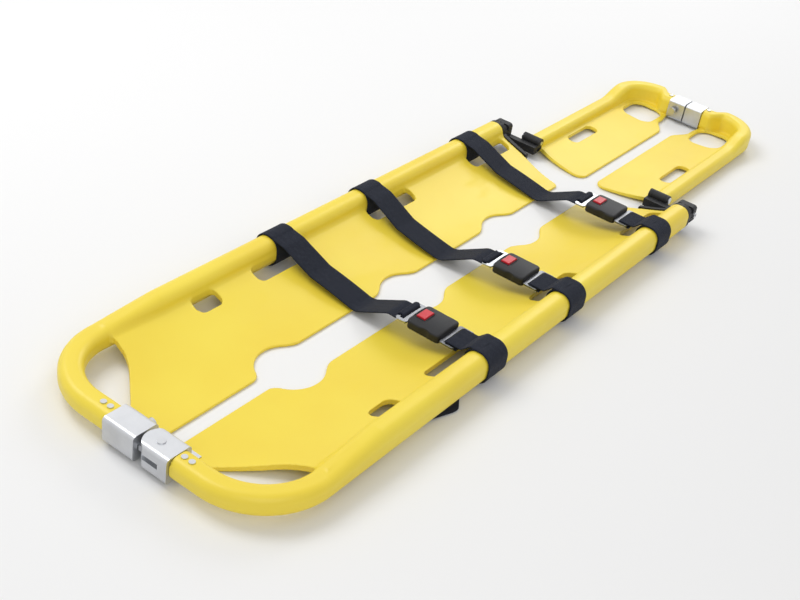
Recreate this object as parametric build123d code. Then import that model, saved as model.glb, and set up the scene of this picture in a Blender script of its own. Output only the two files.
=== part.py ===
from build123d import *
import os

os.makedirs("parts", exist_ok=True)

# A scoop stretcher in millimetres, stored at its shortest setting with the halves joined.
# X runs from the head end to the foot end, +Y is the left half, Z is up from the ground.
# Stations are distances from the outer face of the head coupling, along the length.

# Overall sizes
total_length = 1640.0
overall_width = 450.0
extension_travel = 370.0
fit_gap = 0.1
running_gap = 0.3
press_gap = 0.05
turning_gap = 0.06
grip_gap = 0.08
cut_height = 100.0

# Rim of the main section: a hollow moulded tube that the blades hold up from the ground
rim_width = 40.0
rim_depth = 48.0
rim_low = 9.5
rim_flat = 4.0
rim_wall = 4.0
rim_floor = 5.0
rim_inset = 501.0
taper_length = 109.0
head_rim_width = 36.0
head_rim_depth = 34.0
head_rim_corner = 13.0
head_rim_low = 12.5
corner_radius = 120.0

# Blades of the main section
blade_top_inner = 4.4
blade_top_level = 30.0
blade_top_outer = 46.0
blade_low_level = 60.0
blade_low_outer = 36.0
head_gap = 13.0
torso_gap = 31.0
blade_start = 50.0
bulge_radius = 52.0
first_bulge = 302.0
last_bulge_inset = 244.0
notch_depth = 30.0
slot_width = 30.0
slot_corner = 12.0

# End caps, rails, twist collars and sliders
cap_thickness = 8.0
cap_plug = 35.0
cap_lip_reach = 57.0
cap_lip_margin = 2.0
rail_radius = 12.5
rail_wall = 2.5
slider_length = 40.0
stop_gap = 2.0
collar_radius = 19.0
collar_length = 12.0
collar_ribs = 12
collar_rib_radius = 1.6

# Hinge on which the foot section folds
hinge_z = 30.0
hinge_pin_radius = 4.0
hinge_radius = 9.0
knuckle_half = 13.0
cheek_gap = 0.4
cheek_width = 6.6
bracket_length = 14.0
bracket_bar_z = (12.0, 27.0)
bracket_socket_half = 17.5
clamp_screw_radius = 3.0

# Foot section
foot_start_inset = 440.0
foot_inset = 62.0
foot_rim_width = 32.0
foot_rim_depth = 30.0
foot_rim_low = 2.0
foot_rim_corner = 12.0
foot_rim_wall = 4.0
foot_rise_inset = 150.0
ear_radius = 80.0
ear_low = 3.0
ear_high = 47.0
foot_gap = 13.0
foot_blade_top = (15.0, 4.5)
foot_blade_low = (6.0, 0.0)
foot_slot_width = 26.0
ear_hole_inner = 46.0
ear_hole_corner = 26.0

# Couplings
head_coupling_half = 22.0
head_coupling_z = (6.5, 47.0)
head_coupling_reach = 58.0
head_spigot = 30.0
foot_coupling_inset = 39.0
foot_coupling_half = 20.0
foot_coupling_z = (5.5, 47.5)
foot_coupling_reach = 38.0
foot_spigot = 14.0
face_gap = 1.5
tongue_z = 27.0
tongue_thickness = 8.0
head_tongue_half = 13.0
foot_tongue_half = 11.0
tongue_reach = 37.0
socket_depth = 40.0
socket_side_gap = 1.2
pivot_y = -26.0
pivot_radius = 4.0
clevis_radius = 24.5
clevis_depth = 42.0
plunger_y = 24.0
plunger_radius = 3.5
plunger_travel = 6.0
plunger_knob = (7.5, 5.5)
notch_width = 8.4
tab_length = 28.0
tab_y = (18.0, 50.0)
tab_z = (3.0, 6.0)
rivet_radius = 2.5
rivet_head = (4.5, 1.6)
head_rivet_y = (head_coupling_reach + 9, head_coupling_reach + 22)
foot_rivet_y = (foot_coupling_reach + 7,)

# Belts
first_belt = 497.0
middle_belt_shift = -36.0
last_belt_inset = 104.0
webbing_width = 50.0
webbing_thickness = 2.4
loop_gap = 1.2
tongue_plane = 44.0
plate_thickness = 2.6
buckle_inset = 127.0
buckle_length = 60.0
buckle_half = 29.0
buckle_z = (34.0, 54.0)
buckle_button = (24.0, 15.4)
button_travel = 2.5
button_proud = 2.0
button_inset = 6.3
button_floor = 0.9
spring_flat = 0.8
spring_radius = 6.0
spring_bore = 4.2
latch_half = 15.0
latch_rear = 4.5
latch_front = 26.5
latch_thickness = 2.0
latch_rise = 1.2
tang_half = 14.0
tang_length = 17.0
adjuster_length = 27.0
belt_tongue_insert = 32.0
belt_tongue_half = 17.0
belt_tongue_head = 20.0
tail_drop = 1.4

# Places worked out from the sizes above
rim_corner = (rim_width - rim_flat) / 2
rim_end = total_length - rim_inset
side_y = overall_width / 2 - rim_width / 2
side_inner = overall_width / 2 - rim_width
side_z = rim_low + rim_depth / 2
corner_y = overall_width / 2 - corner_radius
head_rim_y = overall_width / 2 - head_rim_width / 2
head_rim_z = head_rim_low + head_rim_depth / 2
head_coupling_station = head_coupling_half
corner_station = head_coupling_station - head_rim_width / 2 + corner_radius
taper_end = corner_station + taper_length
last_bulge = rim_end - last_bulge_inset
bulge_stations = (first_bulge, (first_bulge + last_bulge) / 2, last_bulge)
last_belt = rim_end - last_belt_inset
belt_stations = (first_belt, (first_belt + last_belt) / 2 + middle_belt_shift, last_belt)
hand_slots = (
    (first_bulge - 24, first_bulge + 26),
    (belt_stations[0] - 89, belt_stations[0] + 35),
    (belt_stations[1] - 34, belt_stations[1] + 88),
    (belt_stations[2] - 33, rim_end - 11),
)
cap_end = rim_end + cap_thickness
plug_start = rim_end - cap_plug
rail_start = plug_start - stop_gap - extension_travel - slider_length
bracket_start = cap_end + collar_length + 4
bracket_end = bracket_start + bracket_length
bracket_socket_y = (side_y - bracket_socket_half, side_y + bracket_socket_half)
bracket_socket_z = (side_z - bracket_socket_half + 1, side_z + bracket_socket_half - 1)
rail_end = bracket_end - 2
screw_station = bracket_start + bracket_length / 2
screw_hole_radius = clamp_screw_radius + fit_gap
hinge_station = bracket_end + hinge_radius + 1
foot_start = total_length - foot_start_inset
foot_rim_y = side_y - foot_inset
foot_rim_z = foot_rim_low + foot_rim_depth / 2
foot_rim_high = foot_rim_low + foot_rim_depth
foot_rise_start = total_length - foot_rise_inset
foot_coupling_station = total_length - foot_coupling_inset
knuckle_y = (foot_rim_y - knuckle_half, foot_rim_y + knuckle_half)
ear_station = total_length - ear_radius
ear_y = foot_rim_y + foot_rim_width / 2 - ear_radius
ear_z = (ear_low + ear_high) / 2
ear_depth = ear_high - ear_low
foot_slot = ((foot_start + 86, foot_start + 180), (foot_rim_y - 23 - foot_slot_width, foot_rim_y - 23))
ear_hole = ((ear_station - 52, ear_station + 32), (ear_hole_inner, foot_rim_y - 27))
buckle_mouth = buckle_inset - side_y
buckle_rear = buckle_mouth - buckle_length
plate_low = tongue_plane - plate_thickness / 2
plate_high = tongue_plane + plate_thickness / 2
button_bed = plate_high + running_gap + button_floor
spring_depth = button_travel + spring_flat


def station(s):
    """X of a distance from the head end"""
    return s - total_length / 2


def block(s, y, z):
    """A box between pairs of stations, widths and heights"""
    pairs = (sorted(s), sorted(y), sorted(z))
    size = [high - low for low, high in pairs]
    middle = [(low + high) / 2 for low, high in pairs]
    return Pos(station(middle[0]), middle[1], middle[2]) * Box(*size)


def bar_along(s, y, z, radius):
    """A round bar along the length, from one station to another"""
    return Pos(station(sum(s) / 2), y, z) * Rot(0, 90, 0) * Cylinder(radius, abs(s[1] - s[0]))


def bar_across(s, y, z, radius):
    """A round bar across the width, from one side to another"""
    return Pos(station(s), sum(y) / 2, z) * Rot(90, 0, 0) * Cylinder(radius, abs(y[1] - y[0]))


def bar_up(s, y, z, radius):
    """A round upright bar, from one height to another"""
    return Pos(station(s), y, sum(z) / 2) * Cylinder(radius, abs(z[1] - z[0]))


def tube_section(s, y, z, width, depth, corner):
    """A rounded rim section that faces along the length"""
    plane = Plane(origin=(station(s), y, z), x_dir=(0, 1, 0), z_dir=(1, 0, 0))
    return plane * RectangleRounded(width, depth, corner)


def end_section(s, y, z, width, depth, corner):
    """A rounded rim section that faces the middle of the stretcher"""
    plane = Plane(origin=(station(s), y, z), x_dir=(1, 0, 0), z_dir=(0, -1, 0))
    return plane * RectangleRounded(width, depth, corner)


def quarter_turn(section, s, y, angle):
    """A rim section swept round an upright axis"""
    return revolve(section, axis=Axis((station(s), y, 0), (0, 0, 1)), revolution_arc=angle)


def plan_prism(points, radii, low, high):
    """A prism over an outline seen from above, with rounded corners"""
    corners = [(station(s), y) for s, y in points]
    outline = make_face(FilletPolyline(*corners, radius=radii, close=True))
    return extrude(Pos(0, 0, low) * outline, amount=high - low)


def plan_slot(s, y, corner):
    """A rounded opening right through the thickness"""
    middle = (station(sum(s) / 2), sum(y) / 2)
    shape = Pos(*middle) * RectangleRounded(abs(s[1] - s[0]), abs(y[1] - y[0]), corner)
    return extrude(Pos(0, 0, -1) * shape, amount=cut_height)


def save(part, name):
    """Writes one piece"""
    export_step(part, f"parts/{name}.step")


def save_pair(part, name):
    """Writes a left piece and its mirror image on the right"""
    save(part, f"left_{name}")
    save(mirror(part, about=Plane.XZ), f"right_{name}")


# Main shell

def main_tube(wall, floor, run_on):
    """The rim of one half, or its hollow when the walls are taken off"""
    side_size = (rim_width - 2 * wall, rim_depth - 2 * floor, rim_corner - wall)
    head_size = (head_rim_width - 2 * wall, head_rim_depth - 2 * wall, head_rim_corner - wall)
    side = tube_section(taper_end, side_y, side_z, *side_size)
    small = tube_section(corner_station, head_rim_y, head_rim_z, *head_size)
    end = end_section(head_coupling_station, corner_y, head_rim_z, *head_size)
    straight = extrude(side, amount=rim_end - taper_end + run_on)
    taper = loft([small.face(), side.face()])
    corner = quarter_turn(small, corner_station, corner_y, 90)
    head = extrude(end, amount=corner_y - head_coupling_reach + run_on)
    return straight + taper + corner + head


def blade_profile():
    """The blade seen along the length: level by the gap, then dished up to the rim"""
    top_level = Line((0, blade_top_inner), (blade_top_level, blade_top_inner))
    top = TangentArc(top_level @ 1, (side_y, blade_top_outer), tangent=(1, 0))
    low_level = Line((0, 0), (blade_low_level, 0))
    low = TangentArc(low_level @ 1, (side_y, blade_low_outer), tangent=(1, 0))
    sides = (Line(top @ 1, low @ 1), Line(top_level @ 0, low_level @ 0))
    return make_face([line.edge() for line in (top_level, top, low_level, low, *sides)])


def blade_slab():
    """The dished blade over its whole length, before its outline is cut"""
    return extrude(Plane.YZ.offset(station(blade_start)) * blade_profile(), amount=rim_end - blade_start)


def on_bulge(vertex):
    """Whether an outline corner lies on one of the round widenings"""
    away = [Vector(station(middle), 0, 0) - Vector(vertex.X, vertex.Y, 0) for middle in bulge_stations]
    return any(abs(path.length - bulge_radius) < 0.01 for path in away)


def blade_outline():
    """The blade seen from above: head edge, gap, notched foot end"""
    notch = rim_end - notch_depth
    points = [
        (blade_start, head_gap),
        (bulge_stations[0], head_gap),
        (bulge_stations[0], torso_gap),
        (notch, torso_gap),
        (notch + 4, torso_gap + 35),
        (rim_end, side_inner - cap_lip_reach),
        (rim_end, side_y - 2),
        (corner_station + 10, side_y - 2),
        (corner_station + 10, side_inner - 32),
        (blade_start + 26, tab_y[1] + 28),
        (blade_start, tab_y[1] + 2),
    ]
    radii = [8, 5, 5, 12, 20, 12, 1, 3, 16, 20, 10]
    corners = [(station(s), y) for s, y in points]
    outline = make_face(FilletPolyline(*corners, radius=radii, close=True))
    for middle in bulge_stations:
        outline -= Pos(station(middle), 0) * Circle(bulge_radius)
    cusps = [vertex for vertex in outline.vertices() if on_bulge(vertex)]
    return extrude(fillet(cusps, 14), amount=cut_height)


def main_shell():
    """One half of the main section: rim, blade and hand slots"""
    shell = main_tube(0, 0, 0) + (blade_slab() & blade_outline())
    shell -= main_tube(rim_wall, rim_floor, 1)
    for slot in hand_slots:
        shell -= plan_slot(slot, (side_inner - slot_width, side_inner), slot_corner)
    tab_end = 2 * head_coupling_half + tab_length
    recess_y = (tab_y[0] - 0.5, tab_y[1] + 0.5)
    shell -= block((blade_start - 1, tab_end + 0.5), recess_y, (tab_z[0], cut_height))
    for y in head_rivet_y:
        shell -= bar_up(head_coupling_station, y, (0, cut_height), rivet_radius + fit_gap)
    return shell


save_pair(main_shell(), "main_shell")


# End cap, rail, slider, twist collar

def end_cap():
    """The cap that closes the rim, guides the rail and trims the blade's end"""
    face = tube_section(rim_end, side_y, side_z, rim_width, rim_depth, rim_corner)
    flange = extrude(face, amount=cap_thickness)
    plug_size = (rim_width - 2 * rim_wall - 2 * fit_gap, rim_depth - 2 * rim_floor - 2 * fit_gap)
    plug_face = tube_section(plug_start, side_y, side_z, *plug_size, rim_corner - rim_wall)
    plug = extrude(plug_face, amount=cap_plug)
    strip = Pos(side_inner - cap_lip_reach / 2, 0) * Rectangle(cap_lip_reach, cut_height)
    lip_face = offset(blade_profile() & strip, amount=cap_lip_margin)
    lip = extrude(Plane.YZ.offset(station(rim_end)) * lip_face, amount=cap_thickness)
    bore = bar_along((plug_start - 1, cap_end + 1), side_y, side_z, rail_radius + fit_gap)
    return flange + plug + lip - bore


def rail():
    """The tube on which the foot section slides out"""
    tube = bar_along((rail_start, rail_end), side_y, side_z, rail_radius)
    tube -= bar_along((rail_start - 1, rail_end + 1), side_y, side_z, rail_radius - rail_wall)
    return tube - bar_across(screw_station, (side_y + 5, bracket_socket_y[1]), side_z, screw_hole_radius)


def rail_slider():
    """The block on the rail's inner end, which runs in the hollow rim"""
    width = rim_width - 2 * rim_wall - 2 * running_gap
    depth = rim_depth - 2 * rim_floor - 2 * running_gap
    body = extrude(
        tube_section(rail_start, side_y, side_z, width, depth, rim_corner - rim_wall - running_gap),
        amount=slider_length,
    )
    span = (rail_start - 1, rail_start + slider_length + 1)
    return body - bar_along(span, side_y, side_z, rail_radius + press_gap)


def lock_collar():
    """The ribbed twist collar that grips the rail"""
    span = (cap_end + running_gap, cap_end + running_gap + collar_length)
    ring = bar_along(span, side_y, side_z, collar_radius)
    for index in range(collar_ribs):
        turn = Rot(index * 360 / collar_ribs, 0, 0) * Pos(0, collar_radius, 0)
        rib = Rot(0, 90, 0) * Cylinder(collar_rib_radius, collar_length)
        ring -= Pos(station(sum(span) / 2), side_y, side_z) * turn * rib
    return ring - bar_along((span[0] - 1, span[1] + 1), side_y, side_z, rail_radius + grip_gap)


save_pair(end_cap(), "end_cap")
save_pair(rail(), "rail")
save_pair(rail_slider(), "rail_slider")
save_pair(lock_collar(), "lock_collar")


# Hinge of the foot section

def hinge_bracket():
    """The clamp on the rail's outer end, with the two cheeks of the hinge"""
    end = bracket_end
    socket = block((bracket_start, end), bracket_socket_y, bracket_socket_z)
    socket = fillet(socket.edges().filter_by(Axis.X), 6)
    inner_cheek = (knuckle_y[0] - cheek_gap - cheek_width, knuckle_y[0] - cheek_gap)
    outer_cheek = (knuckle_y[1] + cheek_gap, knuckle_y[1] + cheek_gap + cheek_width)
    bracket = socket + block((bracket_start, end), (inner_cheek[0], side_y), bracket_bar_z)
    for cheek in (inner_cheek, outer_cheek):
        bracket += bar_across(hinge_station, cheek, hinge_z, hinge_radius)
        bracket += block((end - 1, hinge_station), cheek, (hinge_z - hinge_radius, bracket_bar_z[1]))
    pin_span = (inner_cheek[0] - 1, outer_cheek[1] + 1)
    bracket -= bar_across(hinge_station, pin_span, hinge_z, hinge_pin_radius + press_gap)
    bracket -= bar_along((bracket_start - 1, rail_end), side_y, side_z, rail_radius + press_gap)
    screw_span = (side_y, bracket_socket_y[1] + 1)
    return bracket - bar_across(screw_station, screw_span, side_z, screw_hole_radius)


def bracket_screw():
    """The screw that fixes the rail in its bracket"""
    face = bracket_socket_y[1]
    shank_start = side_y + rail_radius - rail_wall
    shank = bar_across(screw_station, (shank_start, face), side_z, clamp_screw_radius)
    head = bar_across(screw_station, (face, face + 3), side_z, clamp_screw_radius + 2.2)
    key = Plane(origin=(station(screw_station), face + 3, side_z), z_dir=(0, -1, 0))
    return shank + head - extrude(key * RegularPolygon(2.4, 6), amount=2.2)


def foot_knuckle():
    """The hinge knuckle in the front end of the foot rim"""
    depth = foot_rim_depth - 2 * foot_rim_wall - 2 * fit_gap
    width = foot_rim_width - 2 * foot_rim_wall - 2 * fit_gap
    corner = foot_rim_corner - foot_rim_wall
    plug = extrude(tube_section(foot_start, foot_rim_y, foot_rim_z, width, depth, corner), amount=30)
    rim_size = (foot_rim_width, foot_rim_depth, foot_rim_corner)
    flange = extrude(tube_section(foot_start - 3, foot_rim_y, foot_rim_z, *rim_size), amount=3)
    barrel = bar_across(hinge_station, knuckle_y, hinge_z, hinge_radius)
    arm = block((hinge_station, foot_start - 2), knuckle_y, (hinge_z - hinge_radius, foot_rim_high - 3))
    bore_y = (knuckle_y[0] - 1, knuckle_y[1] + 1)
    bore = bar_across(hinge_station, bore_y, hinge_z, hinge_pin_radius + turning_gap)
    return plug + flange + barrel + arm - bore


def hinge_pin():
    """The headed pin through the cheeks and the knuckle"""
    inner = knuckle_y[0] - cheek_gap - cheek_width
    outer = knuckle_y[1] + cheek_gap + cheek_width
    pin = bar_across(hinge_station, (inner - 1.5, outer), hinge_z, hinge_pin_radius)
    return pin + bar_across(hinge_station, (outer, outer + 2), hinge_z, hinge_pin_radius + 2)


save_pair(hinge_bracket(), "hinge_bracket")
save_pair(bracket_screw(), "bracket_screw")
save_pair(foot_knuckle(), "foot_knuckle")
save_pair(hinge_pin(), "hinge_pin")


# Foot shell

def foot_tube(wall, run_on):
    """The rim of one foot half with its raised ear, or its hollow"""
    side_size = (foot_rim_width - 2 * wall, foot_rim_depth - 2 * wall, foot_rim_corner - wall)
    ear_size = (foot_rim_width - 2 * wall, ear_depth - 2 * wall, foot_rim_corner - wall)
    low, high = foot_coupling_z
    end_size = (2 * foot_coupling_half - 4 - 2 * wall, high - low - 1 - 2 * wall, foot_rim_corner - wall)
    side = tube_section(foot_start, foot_rim_y, foot_rim_z, *side_size)
    rise = tube_section(foot_rise_start, foot_rim_y, foot_rim_z, *side_size)
    ear = tube_section(ear_station, foot_rim_y, ear_z, *ear_size)
    tip_station = total_length - foot_rim_width / 2
    tip = end_section(tip_station, ear_y, ear_z, *ear_size)
    neck_y = foot_coupling_reach + foot_spigot + 3
    neck = end_section(foot_coupling_station, neck_y, (low + high) / 2, *end_size)
    tube = extrude(Pos(-run_on, 0, 0) * side, amount=foot_rise_start - foot_start + run_on)
    tube += loft([rise.face(), ear.face()])
    tube += quarter_turn(ear, ear_station, ear_y, -90)
    tube += loft([tip.face(), neck.face()])
    return tube + extrude(neck, amount=neck_y - foot_coupling_reach + run_on)


def foot_blade():
    """The flat blade of the foot section"""
    outer = foot_rim_y
    corners = [
        (outer, foot_blade_top[0]),
        (foot_gap, foot_blade_top[1]),
        (foot_gap, foot_blade_low[1]),
        (outer, foot_blade_low[0]),
    ]
    slab = extrude(
        Plane.YZ.offset(station(foot_start - 30)) * make_face(Polyline(*corners, close=True)),
        amount=total_length - foot_start,
    )
    neck = foot_coupling_station - foot_coupling_half
    points = [
        (foot_start - 27, foot_gap),
        (ear_hole[0][0], foot_gap),
        (ear_hole[0][0] + 36, foot_coupling_reach - 3),
        (neck - 4, foot_coupling_reach + 1),
        (neck + 6, foot_coupling_reach + 1),
        (ear_station + 54, ear_y),
        (ear_station + 40, ear_y + 44),
        (ear_station, foot_rim_y),
        (foot_start + 2, foot_rim_y),
        (foot_start + 2, foot_rim_y - foot_rim_width / 2 + 1),
        (foot_start - 13, foot_rim_y - 42),
        (foot_start - 27, foot_rim_y - 74),
    ]
    radii = [22, 20, 20, 4, 4, 10, 10, 4, 1, 6, 20, 16]
    return slab & plan_prism(points, radii, -1, cut_height)


def foot_shell():
    """One half of the foot section"""
    shell = foot_tube(0, 0) + foot_blade()
    shell -= foot_tube(foot_rim_wall, 1)
    shell -= plan_slot(*foot_slot, slot_corner)
    shell -= plan_slot(*ear_hole, ear_hole_corner)
    for y in foot_rivet_y:
        shell -= bar_up(foot_coupling_station, y, (0, cut_height), rivet_radius + fit_gap)
    return shell


save_pair(foot_shell(), "foot_shell")


# Couplings

def coupling_block(s, half, z, reach, spigot_length, spigot_size, spigot_z, rivet_y):
    """A metal block that ends a rim, with the spigot that goes into it"""
    body = block((s - half, s + half), (face_gap, reach), z)
    body = fillet(body.edges().filter_by(Axis.Y), 6)
    spigot = extrude(end_section(s, reach + spigot_length, spigot_z, *spigot_size), amount=spigot_length + 1)
    body += spigot
    for y in rivet_y:
        body -= bar_up(s, y, (0, cut_height), rivet_radius + fit_gap)
    return body


def head_block():
    """The left block of the head coupling, before its socket"""
    size = [head_rim_width - 2 * rim_wall - 2 * fit_gap, head_rim_depth - 2 * rim_wall - 2 * fit_gap]
    body = coupling_block(
        head_coupling_station, head_coupling_half, head_coupling_z, head_coupling_reach,
        head_spigot, (*size, head_rim_corner - rim_wall), head_rim_z, head_rivet_y,
    )
    face = head_coupling_station + head_coupling_half
    heel = block((face - 8, face), tab_y, (tab_z[0], head_coupling_z[0] + 6))
    return body + heel + block((face - 8, face + tab_length), tab_y, tab_z)


def foot_block():
    """The left block of the foot coupling, before its socket"""
    low, high = foot_coupling_z
    size = [2 * foot_coupling_half - 4 - 2 * foot_rim_wall - 2 * fit_gap]
    size.append(high - low - 1 - 2 * foot_rim_wall - 2 * fit_gap)
    return coupling_block(
        foot_coupling_station, foot_coupling_half, foot_coupling_z, foot_coupling_reach,
        foot_spigot, (*size, foot_rim_corner - foot_rim_wall), (low + high) / 2, foot_rivet_y,
    )


def socket(body, s, half, tongue_half, toward):
    """Cuts the tongue's socket and the plunger's bore into a block"""
    side = tongue_half + socket_side_gap
    gap = tongue_thickness / 2 + 0.2
    body -= block((s - side, s + side), (0, socket_depth), (tongue_z - gap, tongue_z + gap))
    return body - bar_along((s, s + toward * (half + 1)), plunger_y, tongue_z, plunger_radius + fit_gap)


def tongue_plate(s, tongue_half, start, toward):
    """The flat tongue with a tapered tip and the notch for the plunger"""
    tip = tongue_half - 3
    points = [
        (s - tongue_half, start),
        (s + tongue_half, start),
        (s + tongue_half, tongue_reach - 6),
        (s + tip, tongue_reach),
        (s - tip, tongue_reach),
        (s - tongue_half, tongue_reach - 6),
    ]
    corners = [(station(a), y) for a, y in points]
    flat = make_face(Polyline(*corners, close=True))
    plate = extrude(Pos(0, 0, tongue_z - tongue_thickness / 2) * flat, amount=tongue_thickness)
    edge = s + toward * tongue_half
    notch = block(
        (edge - toward * plunger_travel, edge + toward),
        (plunger_y - notch_width / 2, plunger_y + notch_width / 2),
        (tongue_z - tongue_thickness, tongue_z + tongue_thickness),
    )
    return plate - notch


def lock_plunger(s, half, tongue_half, toward):
    """The thumb plunger, drawn out of the tongue's notch"""
    tip = s + toward * (tongue_half + 0.6)
    face = s + toward * half
    knob = face + toward * (plunger_travel + 0.5)
    pin = bar_along((tip, knob + toward), plunger_y, tongue_z, plunger_radius)
    return pin + bar_along((knob, knob + toward * plunger_knob[1]), plunger_y, tongue_z, plunger_knob[0])


def rivets(s, y_values, low, high):
    """Rivets through a rim and the spigot inside it"""
    group = []
    for y in y_values:
        rivet = bar_up(s, y, (low, high), rivet_radius)
        rivet += bar_up(s, y, (high, high + rivet_head[1]), rivet_head[0])
        rivet += bar_up(s, y, (low - rivet_head[1], low), rivet_head[0])
        group.append(rivet)
    return Compound(children=group)


def head_clevis():
    """The right block of the head coupling, a fork round the tongue"""
    body = mirror(head_block(), about=Plane.XZ)
    s = head_coupling_station
    corner = block((s - 30, s + 30), (pivot_y, 0), (0, cut_height))
    body -= corner - bar_up(s, pivot_y, (0, cut_height), clevis_radius)
    gap = tongue_thickness / 2 + 0.2
    body -= block((s - 30, s + 30), (-clevis_depth, 1), (tongue_z - gap, tongue_z + gap))
    return body - bar_up(s, pivot_y, (0, cut_height), pivot_radius + press_gap)


def head_tongue():
    """The tongue of the head coupling, which turns on the pivot pin"""
    s = head_coupling_station
    plate = tongue_plate(s, head_tongue_half, pivot_y, 1)
    low = tongue_z - tongue_thickness / 2
    plate += bar_up(s, pivot_y, (low, low + tongue_thickness), head_tongue_half)
    return plate - bar_up(s, pivot_y, (0, cut_height), pivot_radius + turning_gap)


def pivot_pin():
    """The upright pin of the head coupling"""
    low, high = head_coupling_z
    s = head_coupling_station
    pin = bar_up(s, pivot_y, (low, high), pivot_radius)
    return pin + bar_up(s, pivot_y, (high, high + 1.5), pivot_radius + 2.5)


save(socket(head_block(), head_coupling_station, head_coupling_half, head_tongue_half, 1), "head_socket")
save(head_clevis(), "head_clevis")
save(head_tongue(), "head_tongue")
save(pivot_pin(), "head_pivot_pin")
save(lock_plunger(head_coupling_station, head_coupling_half, head_tongue_half, 1), "head_lock_plunger")
save(socket(foot_block(), foot_coupling_station, foot_coupling_half, foot_tongue_half, -1), "foot_socket")
foot_plate = tongue_plate(foot_coupling_station, foot_tongue_half, -face_gap - 4, -1)
save(mirror(foot_block(), about=Plane.XZ) + foot_plate, "foot_tongue_block")
save(lock_plunger(foot_coupling_station, foot_coupling_half, foot_tongue_half, -1), "foot_lock_plunger")
head_rim_high = head_rim_low + head_rim_depth
save_pair(rivets(head_coupling_station, head_rivet_y, head_rim_low, head_rim_high), "head_rivets")
foot_neck_z = (foot_coupling_z[0] + 0.5, foot_coupling_z[1] - 0.5)
save_pair(rivets(foot_coupling_station, foot_rivet_y, *foot_neck_z), "foot_rivets")


# Belts

def webbing(face, middle):
    """Webbing of full width from its shape seen along the length"""
    plane = Plane.YZ.offset(station(middle - webbing_width / 2))
    return extrude(plane * face, amount=webbing_width)


def loop_outline(grow):
    """The rim's outline grown evenly, seen along the length"""
    size = (rim_width + 2 * grow, rim_depth + 2 * grow)
    return Pos(side_y, side_z) * RectangleRounded(*size, rim_corner + grow)


def rim_loop():
    """The loop round the left rim, seen along the length"""
    return loop_outline(loop_gap + webbing_thickness) - loop_outline(loop_gap)


def strap_run(points, bends):
    """A run of webbing along points given as width and height"""
    return trace(FilletPolyline(*points, radius=bends), webbing_thickness)


def loose_tail(middle):
    """The loose end of the near strap, which pokes out from under the rim towards the head"""
    start = middle - webbing_width / 2
    low = rim_low - loop_gap - webbing_thickness - tail_drop
    points = [
        (start + 8, side_y - 6),
        (start + 8, side_y + 4),
        (start - 40, side_y + 4),
        (start - 67, side_y + 21.5),
        (start - 139, side_y),
        (start - 130, side_y - 14),
        (start - 20, side_y - 10),
    ]
    return plan_prism(points, [2, 2, 8, 4, 4, 4, 12], low, low + webbing_thickness)


loop_top = rim_low + rim_depth + loop_gap + webbing_thickness / 2
under_tongue = plate_low - 1 - webbing_thickness / 2
over_adjuster = plate_high + running_gap + webbing_thickness / 2
far_points = [
    (side_y, loop_top),
    (side_y - 34, loop_top - 7),
    (side_y - 90, 26),
    (22, 8),
    (buckle_mouth + 38, under_tongue),
    (buckle_mouth + 4, under_tongue),
]
far_run = strap_run(far_points, [14, 24, 30, 20])
near_points = [
    (side_y, loop_top),
    (side_y - 16, loop_top),
    (side_y - 30, over_adjuster),
    (side_y - 55, over_adjuster),
]
near_run = strap_run(near_points, [7, 4])


def belt_tongue(middle):
    """The chrome tongue: a tip for the buckle and a slotted head for the webbing"""
    z = (plate_low, plate_high)
    through = (plate_low - 1, plate_high + 1)
    tip_y = buckle_mouth - belt_tongue_insert
    tip = block((middle - belt_tongue_half, middle + belt_tongue_half), (tip_y, buckle_mouth + 2), z)
    tip = fillet(tip.edges().filter_by(Axis.Z).sort_by(Axis.Y)[:2], 6)
    head_half = webbing_width / 2 + 4
    head_y = (buckle_mouth + 1, buckle_mouth + 1 + belt_tongue_head)
    head = block((middle - head_half, middle + head_half), head_y, z)
    head = fillet(head.edges().filter_by(Axis.Z), 5)
    slot_y = sum(head_y) / 2
    slot = block((middle - 23, middle + 23), (slot_y - 2, slot_y + 5), through)
    window = block((middle - 7, middle + 7), (tip_y + 8, tip_y + 16), through)
    return tip + head - slot - window


def buckle_cover(middle):
    """The buckle's moulded cover with its slot, button pocket and latch space"""
    cover = block((middle - buckle_half, middle + buckle_half), (buckle_rear, buckle_mouth), buckle_z)
    cover = fillet(cover.edges().filter_by(Axis.X), 5)
    low = plate_low - running_gap
    high = plate_high + running_gap
    slot_y = (buckle_mouth - belt_tongue_insert - 2, buckle_mouth + 1)
    cover -= block((middle - 21, middle + 21), slot_y, (low, high))
    half_x = buckle_button[0] / 2 + running_gap
    front = buckle_mouth - button_inset + running_gap
    pocket = (front - buckle_button[1] - 2 * running_gap, front)
    cover -= block((middle - half_x, middle + half_x), pocket, (button_bed, buckle_z[1] + 1))
    latch_x = (middle - latch_half - 0.5, middle + latch_half + 0.5)
    latch_y = (buckle_rear + latch_rear - 0.5, buckle_mouth - latch_front + 0.5)
    latch_z = (high - 0.1, high + latch_rise + latch_thickness + 1.2)
    cover -= block(latch_x, latch_y, latch_z)
    tang_x = (middle - tang_half - fit_gap, middle + tang_half + fit_gap)
    return cover - block(tang_x, (buckle_rear - 1, buckle_rear + tang_length + 1), (low + 0.2, high - 0.2))


def buckle_button_cap(middle):
    """The red button, standing a little proud of the cover"""
    front = buckle_mouth - button_inset
    z = (button_bed + spring_depth, buckle_z[1] + button_proud)
    half = buckle_button[0] / 2
    cap = block((middle - half, middle + half), (front - buckle_button[1], front), z)
    return fillet(cap.faces().sort_by(Axis.Z)[-1].edges(), 1.5)


def buckle_spring(middle):
    """The flat wave spring under the button"""
    y = buckle_mouth - button_inset - buckle_button[1] / 2
    ring = bar_up(middle, y, (button_bed, button_bed + spring_depth), spring_radius)
    return ring - bar_up(middle, y, (button_bed - 1, button_bed + spring_depth + 1), spring_bore)


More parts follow.
